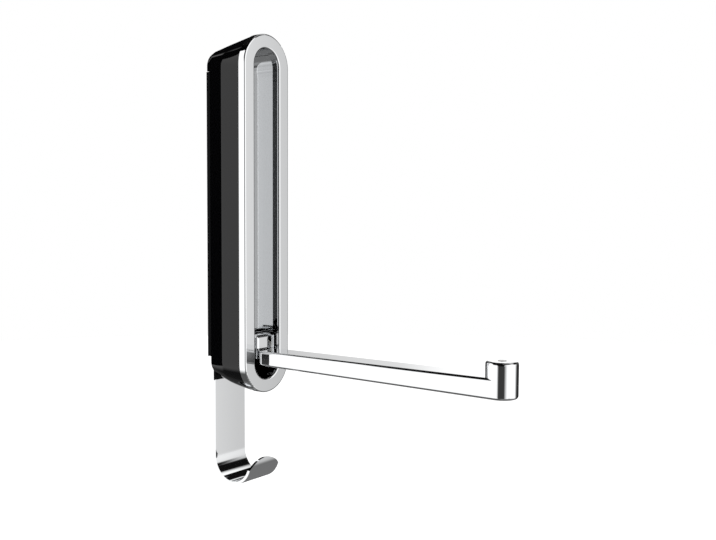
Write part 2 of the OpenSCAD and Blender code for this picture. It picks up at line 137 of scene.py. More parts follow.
@dataclass(frozen=True)
class Finish:
    """A material and the process that made its surface.

    Attributes:
        name: What the material is and how it was finished.
        colour: Base colour as an sRGB hex code.
        roughness: Mean roughness of the surface.
        metallic: 1 for bare or plated metal, 0 for plastics, paint and rubber.
        ior: Refractive index; metals keep the shader's default.
    """

    name: str
    colour: str
    roughness: float
    metallic: float = 0.0
    ior: float = 1.5

    def build(self) -> bpy.types.Material:
        """Make the material.

        Returns:
            The finished material, made once and then reused.
        """
        made = bpy.data.materials.get(self.name)
        if made is not None:
            return made
        material = bpy.data.materials.new(self.name)
        tree = empty_tree(material)
        values = {
            "Base Color": linear(self.colour),
            "Roughness": self.roughness,
            "Metallic": self.metallic,
            "IOR": self.ior,
        }
        shader = add_node(tree, "ShaderNodeBsdfPrincipled", values)
        add_node(tree, "ShaderNodeOutputMaterial", {"Surface": shader.outputs[0]})
        self.detail(tree, shader)
        return material

    def detail(self, tree: bpy.types.NodeTree, shader: bpy.types.Node) -> None:
        """Add the finish's own pattern; a plain finish has none.

        Args:
            tree: Node tree of the material.
            shader: Its surface shader.
        """

    def noise(
        self, tree: bpy.types.NodeTree, size: float, stretch: Point = (1.0, 1.0, 1.0), detail: float = 2.0
    ) -> bpy.types.NodeSocket:
        """Add a noise whose lumps have a real size.

        Args:
            tree: Node tree of the material.
            size: Mean size of a lump in metres.
            stretch: How many times longer a lump is along x, y and z.
            detail: Octaves of finer noise on top.

        Returns:
            The noise's value, around 0.5.
        """
        place = add_node(tree, "ShaderNodeTexCoord").outputs["Object"]
        scale = tuple(1.0 / (size * s) for s in stretch)
        scaled = add_node(tree, "ShaderNodeVectorMath", {0: place, 1: scale}, operation="MULTIPLY")
        inputs = {"Vector": scaled.outputs[0], "Scale": 1.0, "Detail": detail}
        return add_node(tree, "ShaderNodeTexNoise", inputs).outputs[0]

    def spread(
        self, tree: bpy.types.NodeTree, value: bpy.types.NodeSocket, low: float, high: float
    ) -> bpy.types.NodeSocket:
        """Map a noise's middle onto the range from low to high."""
        ends = {"From Min": NOISE_LOW, "From Max": NOISE_HIGH, "To Min": low, "To Max": high}
        return add_node(tree, "ShaderNodeMapRange", {"Value": value, **ends}).outputs[0]

    def bump(
        self, tree: bpy.types.NodeTree, shader: bpy.types.Node, height: bpy.types.NodeSocket, depth: float
    ) -> None:
        """Raise the surface by a pattern from 0 to 1, whose real height in metres is the depth."""
        made = add_node(tree, "ShaderNodeBump", {"Height": height, "Distance": depth, "Strength": 1.0})
        tree.links.new(made.outputs[0], shader.inputs["Normal"])


@dataclass(frozen=True)
class BrightChrome(Finish):
    """Nickel and chromium plate on a polished base: a sharp mirror with a trace of polishing haze.

    Attributes:
        haze: Extra roughness in the hazier patches.
        haze_size: Width of a hazy patch in metres.
        haze_stretch: How many times longer than wide a patch is, along the grain.
        ripple: Real height of the slight waviness that polishing leaves, in metres.
        ripple_size: Length of a wave in metres.
        grain: Direction of the last polish.
    """

    haze: float = 0.02
    haze_size: float = 0.6 * MM
    haze_stretch: float = 8.0
    ripple: float = 0.0006 * MM
    ripple_size: float = 14 * MM
    grain: Grain = Grain.UPRIGHT

    def detail(self, tree: bpy.types.NodeTree, shader: bpy.types.Node) -> None:
        """Add polishing haze along the grain and a faint waviness.

        Args:
            tree: Node tree of the material.
            shader: Its surface shader.
        """
        stretch = tuple(self.haze_stretch if g else 1.0 for g in self.grain.value)
        haze = self.noise(tree, self.haze_size, stretch)
        rough = self.spread(tree, haze, self.roughness, self.roughness + self.haze)
        tree.links.new(rough, shader.inputs["Roughness"])
        self.bump(tree, shader, self.noise(tree, self.ripple_size, detail=0.0), self.ripple)


@dataclass(frozen=True)
class MouldedGloss(Finish):
    """Gloss plastic from a polished mould: deep colour, mirror-like skin with a faint orange peel.

    Attributes:
        peel: Real height of the orange peel in metres.
        peel_size: Size of its lumps in metres.
        mark_size: Size of the soft marks that handling leaves, in metres.
    """

    peel: float = 0.0008 * MM
    peel_size: float = 5 * MM
    mark_size: float = 9 * MM

    def detail(self, tree: bpy.types.NodeTree, shader: bpy.types.Node) -> None:
        """Add orange peel and the soft handling marks that dull gloss black.

        Args:
            tree: Node tree of the material.
            shader: Its surface shader.
        """
        marks = self.noise(tree, self.mark_size, detail=4.0)
        rough = self.spread(tree, marks, self.roughness, self.roughness * 2)
        tree.links.new(rough, shader.inputs["Roughness"])
        self.bump(tree, shader, self.noise(tree, self.peel_size, detail=1.0), self.peel)


@dataclass(frozen=True)
class Grained(Finish):
    """Surface with one fine grain, which changes its gloss and its height alike.

    Attributes:
        grit: Size of the grain in metres.
        relief: Real height of the grain in metres.
        octaves: Octaves of finer grain on top.
        vary: Share by which the grain changes the roughness.
    """

    grit: float = 0.4 * MM
    relief: float = 0.01 * MM
    octaves: float = 3.0
    vary: float = 0.1

    def detail(self, tree: bpy.types.NodeTree, shader: bpy.types.Node) -> None:
        """Add the grain.

        Args:
            tree: Node tree of the material.
            shader: Its surface shader.
        """
        grain = self.noise(tree, self.grit, detail=self.octaves)
        low, high = self.roughness * (1 - self.vary), self.roughness * (1 + self.vary)
        tree.links.new(self.spread(tree, grain, low, high), shader.inputs["Roughness"])
        self.bump(tree, shader, grain, self.relief)


@dataclass(frozen=True)
class PowderCoat(Grained):
    """Powder coat: an even satin skin with a fine pebble from the baked powder, drawn coarser to show."""

    grit: float = 0.8 * MM
    relief: float = 0.02 * MM
    octaves: float = 2.0
    vary: float = 0.15


@dataclass(frozen=True)
class MouldedMatt(Grained):
    """Nylon, rubber or a sintered part from a blasted mould: fine matt grain over an even colour."""


@dataclass(frozen=True)
class TurnedMetal(Finish):
    """Metal cut on a lathe and plated or left bare: fine rings round its axis and a mottled film.

    Attributes:
        feed: Spacing of the tool's rings in metres, drawn coarser than real to show.
        groove: Real height of the rings in metres.
        stain: Second colour, which the film takes in patches.
        film_size: Size of those patches in metres.
        axis: Line that the rings run round.
        centre: A point on that line.
    """

    feed: float = 0.25 * MM
    groove: float = 0.004 * MM
    stain: str = "#8F9092"
    film_size: float = 3 * MM
    axis: Grain = Grain.ACROSS
    centre: Point = (0.0, 0.0, 0.0)

    def detail(self, tree: bpy.types.NodeTree, shader: bpy.types.Node) -> None:
        """Add tool rings and the mottled film.

        Args:
            tree: Node tree of the material.
            shader: Its surface shader.
        """
        place = add_node(tree, "ShaderNodeTexCoord").outputs["Object"]
        offset = add_node(tree, "ShaderNodeVectorMath", {0: place, 1: self.centre}, operation="SUBTRACT")
        keep = tuple(0.0 if a else 1.0 for a in self.axis.value)
        flat = add_node(tree, "ShaderNodeVectorMath", {0: offset.outputs[0], 1: keep}, operation="MULTIPLY")
        radius = add_node(tree, "ShaderNodeVectorMath", {0: flat.outputs[0]}, operation="LENGTH")
        pace = {0: radius.outputs["Value"], 1: math.tau / self.feed}
        turns = add_node(tree, "ShaderNodeMath", pace, operation="MULTIPLY")
        wave = add_node(tree, "ShaderNodeMath", {0: turns.outputs[0]}, operation="SINE")
        self.bump(tree, shader, wave.outputs[0], self.groove)
        film = self.spread(tree, self.noise(tree, self.film_size, detail=3.0), 0.0, 1.0)
        colours = {"Factor": film, 6: linear(self.colour), 7: linear(self.stain)}
        mixed = add_node(tree, "ShaderNodeMix", colours, data_type="RGBA")
        tree.links.new(mixed.outputs[2], shader.inputs["Base Color"])


PIN: Point = (0.0, -36.4 * MM, -120.704 * MM)

# Zinc die castings plated with nickel and chromium: a bright, very slightly blue mirror.
CHROME_ON_CASTING = BrightChrome("chrome_plated_zinc_casting", "#F3F4F5", 0.02, 1.0)
# The arm is polished along its length, so its haze runs from the hinge to the tip.
CHROME_ON_ARM = BrightChrome("chrome_plated_arm_casting", "#F3F4F5", 0.02, 1.0, grain=Grain.DEPTH)
# Steel strip polished before it is bent, then plated: the haze runs along the strip.
CHROME_ON_STRIP = BrightChrome("chrome_plated_bent_strip", "#F1F2F3", 0.025, 1.0)
# Thin sheet pressed to a trough: as bright, but wavier than a casting.
CHROME_ON_SHEET = BrightChrome(
    "chrome_plated_pressed_sheet", "#F1F2F3", 0.03, 1.0, haze=0.03, ripple=0.002 * MM
)
# The bracket is plated with the other castings but not polished first, so its reflections are softer.
CHROME_ON_BRACKET = BrightChrome(
    "chrome_plated_rough_casting", "#E6E8EA", 0.12, 1.0, haze=0.08, ripple=0.004 * MM
)
# Gloss ABS: nearly black, with only the skin's reflections to show its form.
GLOSS_ABS = MouldedGloss("gloss_moulded_abs", "#050506", 0.03, ior=1.42)
# Satin powder coat on the cast wall plate: a deep black that hardly shines at its edges.
SATIN_POWDER = PowderCoat("satin_powder_coat", "#08080A", 0.42, ior=1.2)
# Bare turned steel of the pin and its washers: grey, with rings that catch the light.
TURNED_STEEL = TurnedMetal("turned_steel", "#B9BABC", 0.28, 1.0, centre=PIN)
# Spring steel keeps the blue-black film of its tempering.
BLUED_SPRING = TurnedMetal("blued_spring_steel", "#5C6270", 0.3, 1.0, stain="#474A52", centre=PIN)
# Phosphated screws: a nearly black, mottled film that stays dark inside the hinge bay.
PHOSPHATED_STEEL = TurnedMetal(
    "black_phosphated_steel", "#2A2A2C", 0.45, 1.0, stain="#1C1C1E", axis=Grain.DEPTH
)
# Natural nylon: warm white and slightly waxy.
NATURAL_NYLON = MouldedMatt("natural_nylon", "#E7E2D4", 0.42, ior=1.53)
# Moulded rubber pad: matt black.
MOULDED_RUBBER = MouldedMatt("moulded_rubber", "#1A1A1A", 0.8, ior=1.52, relief=0.03 * MM)
# Sintered magnet under nickel plate: dark, warm grey metal with the grain of the pressing.
NICKEL_MAGNET = MouldedMatt("nickel_plated_magnet", "#8E8C88", 0.22, 1.0, grit=0.3 * MM, relief=0.003 * MM)


def dress(parts: Sequence[tuple[str, Finish]]) -> None:
    """Give carried-over CAD parts their finishes.

    Args:
        parts: Names of the CAD parts and what each is made of.
    """
    for node, finish in parts:
        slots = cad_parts[node].data.materials
        slots.clear()
        slots.append(finish.build())
        LOG.info("%s: %s", node, finish.name)


def new_object(name: str, mesh: bmesh.types.BMesh, material: bpy.types.Material) -> bpy.types.Object:
    """Turn a finished mesh into an object of the scene.

    Args:
        name: Name of the object.
        mesh: Its geometry, which is freed here.
        material: Its material.

    Returns:
        The new object.
    """
    data = bpy.data.meshes.new(name)
    mesh.to_mesh(data)
    mesh.free()
    data.materials.append(material)
    made = bpy.data.objects.new(name, data)
    bpy.context.scene.collection.objects.link(made)
    return made


def new_piece(
    name: str, mesh: bmesh.types.BMesh, finish: Finish, body: Body
) -> bpy.types.Object:
    """Turn a finished mesh into a piece of the object.

    Args:
        name: Name of the piece.
        mesh: Its geometry, which is freed here.
        finish: What it is made of.
        body: CAD body that it rides on.

    Returns:
        The new object.
    """
    bmesh.ops.recalc_face_normals(mesh, faces=mesh.faces)
    piece = new_object(name, mesh, finish.build())
    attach(piece, body.value)
    LOG.info("%s: %d faces of %s", name, len(piece.data.polygons), finish.name)
    return piece


def smooth_piece(piece: bpy.types.Object, sharp: float, even: bool) -> None:
    """Shade a piece smoothly between its sharp edges.

    Args:
        piece: The piece.
        sharp: Angle in degrees from which an edge stays sharp.
        even: Whether its large faces stay flat, so that they mirror without a false curve.
    """
    for face in piece.data.polygons:
        face.use_smooth = True
    piece.data.set_sharp_from_angle(angle=math.radians(sharp))
    if even:
        piece.modifiers.new("even_faces", "WEIGHTED_NORMAL").keep_sharp = True


def rounded_outline(
    w: float, h: float, r: float, y: float, arc: int, levels: tuple[float, ...]
) -> list[Point]:
    """Points of a rounded rectangle standing in a plane.

    Args:
        w: Width.
        h: Height.
        r: Corner radius.
        y: Plane that it stands in.
        arc: Number of steps round each corner.
        levels: Heights of more points on each long side, from low to high.

    Returns:
        The points, from the right side up over the top and down the left side.
    """
    points: list[Point] = []
    for quarter, (sx, sz) in enumerate(((1, 1), (-1, 1), (-1, -1), (1, -1))):
        for i in range(arc + 1):
            a = math.radians(90 * (quarter + i / arc))
            points.append((sx * (w / 2 - r) + r * math.cos(a), y, sz * (h / 2 - r) + r * math.sin(a)))
        if quarter == 1:
            points += [(-w / 2, y, z) for z in reversed(levels)]
    return points + [(w / 2, y, z) for z in levels]


def skin(mesh: bmesh.types.BMesh, loops: list[list[Point]]) -> None:
    """Join closed outlines of equal length with faces, one after another.

    Args:
        mesh: Mesh that takes the faces.
        loops: The outlines; the first and last may be the same.
    """
    rows = [[mesh.verts.new(p) for p in loop] for loop in loops]
    for a, b in zip(rows, rows[1:]):
        count = len(a)
        for i in range(count):
            j = (i + 1) % count
            mesh.faces.new((a[i], a[j], b[j], b[i]))
    bmesh.ops.remove_doubles(mesh, verts=mesh.verts, dist=WELD)


@dataclass
class Housing:
    """Moulded shell between the trim ring and the wall plate.

    Attributes:
        width: Width behind the ring.
        height: Height behind the ring.
        front: Plane of its front edge, behind the ring.
        back: Plane of its back edge, at the wall plate.
        top_back: Plane of the back edge of the top end, which closes at the wall above the plate.
        top_from: Height from which the top end reaches that far back.
        top_power: How early the top end draws in; 1 is a straight slope.
        top_draw: How much the top end draws in at the wall.
        top_step: Half the height of the step between the two back edges.
        straight: Depth over which the sides stay parallel.
        end_draw: How much the lower end draws in at the back.
        side_draw: How much each side draws in at the back.
        corner: Corner radius at the back.
        wall: Thickness of the shell.
        opening: Width and height of the slot that the recess drops into.
        seat: Width and height of the shallow seat for the liner's flange.
        seat_depth: Depth of that seat.
        lug_x: Distance of the snap lugs' outer side from the middle.
        lug_t: Thickness of a lug.
        lug_root: Thickness of a lug's root, in thicknesses of the lug.
        lug_edge: Rounding of a lug's edges.
        lug_w: Height of a lug.
        lug_level: Height of the lugs above and below the middle.
        lug_reach: How far a lug's root reaches ahead of the back edge.
        lug_catch: How far a lug reaches behind the back edge.
        sections: Number of steps in depth to the plate.
        closing: Number of steps in depth from there to the wall.
        arc: Number of steps round each corner.
        sharp: Angle in degrees from which an edge stays sharp.
    """

    width: float = 55.8 * MM
    height: float = 319.2 * MM
    front: float = -42.6 * MM
    back: float = -4.04 * MM
    top_back: float = -0.3 * MM
    top_from: float = 128.45 * MM
    top_power: float = 1.3
    top_draw: float = 13.0 * MM
    top_step: float = 0.2 * MM
    straight: float = 22 * MM
    end_draw: float = 12.5 * MM
    side_draw: float = 2 * MM
    corner: float = 14 * MM
    wall: float = 2.2 * MM
    opening: tuple[float, float] = (34.0 * MM, 297.4 * MM)
    seat: tuple[float, float] = (38.0 * MM, 301.4 * MM)
    seat_depth: float = 1.05 * MM
    lug_x: float = 23.7 * MM
    lug_t: float = 2.0 * MM
    lug_root: float = 1.75
    lug_edge: float = 0.25 * MM
    lug_w: float = 12.0 * MM
    lug_level: float = 86.4 * MM
    lug_reach: float = 3.0 * MM
    lug_catch: float = 2.6 * MM
    sections: int = 28
    closing: int = 3
    arc: int = 20
    sharp: float = 30.0

    def rounded(self, w: float, h: float, r: float, y: float, shift: float = 0.0) -> list[Point]:
        """Rounded rectangle in a plane, moved up by a shift, all but its points beside the plate's top."""
        levels = (self.top_from - self.top_step - shift, self.top_from + self.top_step - shift)
        return [(x, plane, z + shift) for x, plane, z in rounded_outline(w, h, r, y, self.arc, levels)]

    def outline(self, depth: float, inset: float) -> list[Point]:
        """Outline of the shell at one depth.

        Args:
            depth: Distance behind the ring.
            inset: How far inside the outer skin it runs.

        Returns:
            Points round the outline, from the right side up over the top. Behind the plate's face only the
            top end goes on, and the other points stay at the back edge.
        """
        total = self.back - self.front
        curve = min(1.0, depth / total) ** 2
        rise = (depth / (self.top_back - self.front)) ** self.top_power
        side = max(0.0, (depth - self.straight) / (total - self.straight))
        w = self.width - 2 * self.side_draw * side
        h = self.height - self.end_draw * curve - self.top_draw * rise
        r = w / 2 + (self.corner - w / 2) * curve - inset
        shift = (self.end_draw * curve - self.top_draw * rise) / 2
        points = self.rounded(w - 2 * inset, h - 2 * inset, r, self.front + depth, shift)
        if depth > total:
            low = self.outline(total, inset)
            points = [p if p[2] > self.top_from else q for p, q in zip(points, low)]
        return points

    def build(self) -> bpy.types.Object:
        """Build the shell with its outer and inner skin, front wall, liner seat, back edge and snap lugs.

        Returns:
            The housing, which stands for its CAD part.
        """
        mesh = bmesh.new()
        total = self.back - self.front
        depths = [total * i / self.sections for i in range(self.sections + 1)]
        rest = self.top_back - self.back
        depths += [total + rest * (i + 1) / self.closing for i in range(self.closing)]
        outer = [self.outline(d, 0.0) for d in depths]
        inner = [self.outline(max(d, self.wall), self.wall) for d in depths if d >= self.wall or d == 0.0]
        seat_y = self.front + self.seat_depth
        loops = [
            self.rounded(*self.seat, self.seat[0] / 2, seat_y),
            self.rounded(*self.seat, self.seat[0] / 2, self.front),
            *outer,
            *reversed(inner),
            self.rounded(*self.opening, self.opening[0] / 2, self.front + self.wall),
            self.rounded(*self.opening, self.opening[0] / 2, seat_y),
            self.rounded(*self.seat, self.seat[0] / 2, seat_y),
        ]
        skin(mesh, loops)
        for side in (-1, 1):
            for level in (-self.lug_level, self.lug_level):
                self.lug(mesh, side, level)
        shell = new_piece("housing_shell", mesh, GLOSS_ABS, Body.WALL)
        smooth_piece(shell, self.sharp, even=True)
        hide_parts("housing")
        return shell

    def lug(self, mesh: bmesh.types.BMesh, side: int, level: float) -> None:
        """Add one snap lug, which grows from the side wall and catches in the wall plate.

        Args:
            mesh: Mesh that takes the lug.
            side: -1 for the left wall, 1 for the right wall.
            level: Height of the lug's middle.
        """
        x, t = self.lug_x * side, self.lug_t * side
        for width, back in ((t, self.back + self.lug_catch), (t * self.lug_root, self.back)):
            xs, ys = sorted((x - t, x - t + width)), (self.back - self.lug_reach, back)
            zs = (level - self.lug_w / 2, level + self.lug_w / 2)
            centre = Vector((sum(xs) / 2, sum(ys) / 2, sum(zs) / 2))
            size = Matrix.Diagonal((xs[1] - xs[0], ys[1] - ys[0], zs[1] - zs[0], 1.0))
            made = bmesh.ops.create_cube(mesh, size=1.0, matrix=Matrix.Translation(centre) @ size)
            edges = list({e for v in made["verts"] for e in v.link_edges})
            bmesh.ops.bevel(mesh, geom=edges, offset=self.lug_edge, segments=2, affect="EDGES", profile=0.5)


@dataclass
class RingThroat:
    """Draft on the right inner face of the trim ring, which widens the opening towards the front.

    Attributes:
        opening: Width and height of the ring's opening.
        front: Plane where the draft starts, behind the rounded front edge.
        back: Plane of the ring's back.
        draft: How far the right face has come in at the back; the left side stays inside the ring.
        seat: How far the piece is let into the ring, so that no gap shows.
        levels: Heights of two more points on each long side, level with the housing's.
        arc: Number of steps round each corner.
        sharp: Angle in degrees from which an edge stays sharp.
    """

    opening: tuple[float, float] = (31.6 * MM, 295.0 * MM)
    front: float = -48.0 * MM
    back: float = -42.62 * MM
    draft: float = 0.80 * MM
    seat: float = 0.05 * MM
    levels: tuple[float, float] = (128.25 * MM, 128.65 * MM)
    arc: int = 20
    sharp: float = 30.0

    def build(self) -> bpy.types.Object:
        """Build the drafted band round the opening.

        Returns:
            The band, which belongs to the ring's casting.
        """
        w, h = (size + 2 * self.seat for size in self.opening)
        loops = []
        for move, y in ((0.0, self.front), (-self.draft, self.back), (0.0, self.back), (0.0, self.front)):
            points = rounded_outline(w, h, w / 2, y, self.arc, self.levels)
            loops.append([(x + move, plane, z) for x, plane, z in points])
        mesh = bmesh.new()
        skin(mesh, loops)
        throat = new_piece("ring_throat", mesh, CHROME_ON_CASTING, Body.WALL)
        smooth_piece(throat, self.sharp, even=True)
        return throat


@dataclass
class PaintedShadeSheet:
    """Painted shade: a black sheet laid in front of the coat hook's root, below the housing, that stands for
    the shadow the housing casts on the strip.

    Attributes:
        width: Width of the sheet.
        top: Height of its upper end, under the plate.
        low: Height of its lower end.
        front: Plane of its front.
        back: Plane of its back, just ahead of the hook's strip.
        corner: Radius of its lower corners.
        edge: Width of the rounded edge.
        arc: Number of steps round a corner.
        sharp: Angle in degrees from which an edge stays sharp.
    """

    width: float = 41.0 * MM
    top: float = -128.8 * MM
    low: float = -151.4 * MM
    front: float = -4.0 * MM
    back: float = -2.56 * MM
    corner: float = 2.0 * MM
    edge: float = 0.3 * MM
    arc: int = 8
    sharp: float = 35.0

    def build(self) -> bpy.types.Object:
        """Build the sheet from its outline.

        Returns:
            The sheet of painted shade, in the plate's finish.
        """
        half, r = self.width / 2, self.corner
        outline = [(half, self.top), (-half, self.top)]
        for side, start in ((-1, 180), (1, 270)):
            for i in range(self.arc + 1):
                turn = math.radians(start + 90 * i / self.arc)
                outline.append((side * (half - r) + r * math.cos(turn), self.low + r + r * math.sin(turn)))
        mesh = bmesh.new()
        rows = [[mesh.verts.new((x, y, z)) for x, z in outline] for y in (self.front, self.back)]
        face = mesh.faces.new(rows[0])
        mesh.faces.new(reversed(rows[1]))
        for i in range(len(outline)):
            j = (i + 1) % len(outline)
            mesh.faces.new((rows[0][j], rows[0][i], rows[1][i], rows[1][j]))
        rim = list(face.edges)
        bmesh.ops.bevel(mesh, geom=rim, offset=self.edge, segments=3, affect="EDGES", profile=0.5)
        # Painted shade: the black sheet darkens the hook's root below the housing.
        shade_sheet = new_piece("painted_shade_sheet", mesh, SATIN_POWDER, Body.WALL)
        smooth_piece(shade_sheet, self.sharp, even=False)
        return shade_sheet


@dataclass
class WallBody:
    """Body on the wall: housing, ring, plate, recess liner and the screws behind them.

    Attributes:
        housing: Moulded shell.
        throat: Draft in the ring's opening.
        shade_sheet: Black sheet that stands for the painted shadow below the housing.
        finishes: CAD parts and their finishes.
    """

    housing: Housing = field(default_factory=Housing)
    throat: RingThroat = field(default_factory=RingThroat)
    # Black sheet of painted shade below the housing.
    shade_sheet: PaintedShadeSheet = field(default_factory=PaintedShadeSheet)
    finishes: tuple[tuple[str, Finish], ...] = (
        ("wall_plate", SATIN_POWDER),
        ("trim_ring", CHROME_ON_CASTING),
        ("recess_liner", CHROME_ON_SHEET),
        ("ring_screws", PHOSPHATED_STEEL),
        ("bracket_screws", PHOSPHATED_STEEL),
    )

    def build(self) -> None:
        """Build the new pieces and dress the CAD parts."""
        self.housing.build()
        self.throat.build()
        self.shade_sheet.build()
        dress(self.finishes)


@dataclass
class Hinge:
    """Bracket, pin and the small parts threaded on it.

    Attributes:
        finishes: CAD parts and their finishes.
    """

    finishes: tuple[tuple[str, Finish], ...] = (
        ("hinge_bracket", CHROME_ON_BRACKET),
        ("hinge_pin", TURNED_STEEL),
        ("plain_washers", TURNED_STEEL),
        ("spring_washer", BLUED_SPRING),
        ("pin_clip", BLUED_SPRING),
        ("pin_bushes", NATURAL_NYLON),
        ("stop_pad", MOULDED_RUBBER),
    )

    def build(self) -> None:
        """Dress the hinge's parts."""
        dress(self.finishes)


@dataclass
class HangerArm:
    """Swinging arm with the magnet in its tip post.

    Attributes:
        finishes: CAD parts and their finishes.
    """

    finishes: tuple[tuple[str, Finish], ...] = (("arm", CHROME_ON_ARM), ("tip_magnet", NICKEL_MAGNET))

    def build(self) -> None:
        """Dress the arm and its magnet."""
        dress(self.finishes)


@dataclass
class CoatHook:
    """Bent strip below the body and the screws that hold it.

    Attributes:
        finishes: CAD parts and their finishes.
    """

    finishes: tuple[tuple[str, Finish], ...] = (
        ("coat_hook", CHROME_ON_STRIP),
        ("hook_screws", PHOSPHATED_STEEL),
    )

    def build(self) -> None:
        """Dress the hook and its screws."""
        dress(self.finishes)


@dataclass
class PhotoCamera:
    """Camera at the viewpoint found by fitting the model's edges to the photograph.

    Attributes:
        place: Position in metres.
        yaw: Heading in degrees, from +y towards +x.
        pitch: Downward tilt in degrees.
        roll: Turn about the line of sight in degrees.
        focal: Focal length in pixels of the 716 pixel wide frame.
        frame_width: Width of that frame in pixels.
        sensor: Width of the sensor in millimetres.
        clip_start: Nearest distance that shows, in metres.
    """

    place: Point = (-0.6075, -0.6191, 0.0070)
    yaw: float = 52.485
    pitch: float = 3.841
    roll: float = 0.308
    focal: float = 923.5
    frame_width: int = 716
    sensor: float = 36.0
    clip_start: float = 0.01

    def build(self) -> bpy.types.Object:
        """Place the camera and make it the scene's own.

        Returns:
            The camera object.
        """
        yaw, pitch, roll = (math.radians(a) for a in (self.yaw, self.pitch, self.roll))
        forward = Vector((math.sin(yaw) * math.cos(pitch), math.cos(yaw) * math.cos(pitch), -math.sin(pitch)))
        level = Vector((math.cos(yaw), -math.sin(yaw), 0.0))
        upright = level.cross(forward)
        right = level * math.cos(roll) + upright * math.sin(roll)
        up = upright * math.cos(roll) - level * math.sin(roll)
        data = bpy.data.cameras.new("photo_camera")
        data.sensor_fit = "HORIZONTAL"
        data.sensor_width = self.sensor
        data.lens = self.focal / self.frame_width * self.sensor
        data.clip_start = self.clip_start
        camera = bpy.data.objects.new("photo_camera", data)
        turn = Matrix((right, up, -forward)).transposed().to_4x4()
        camera.matrix_world = Matrix.Translation(self.place) @ turn
        bpy.context.scene.collection.objects.link(camera)
        bpy.context.scene.camera = camera
        LOG.info("camera: %.1f mm lens", data.lens)
        return camera


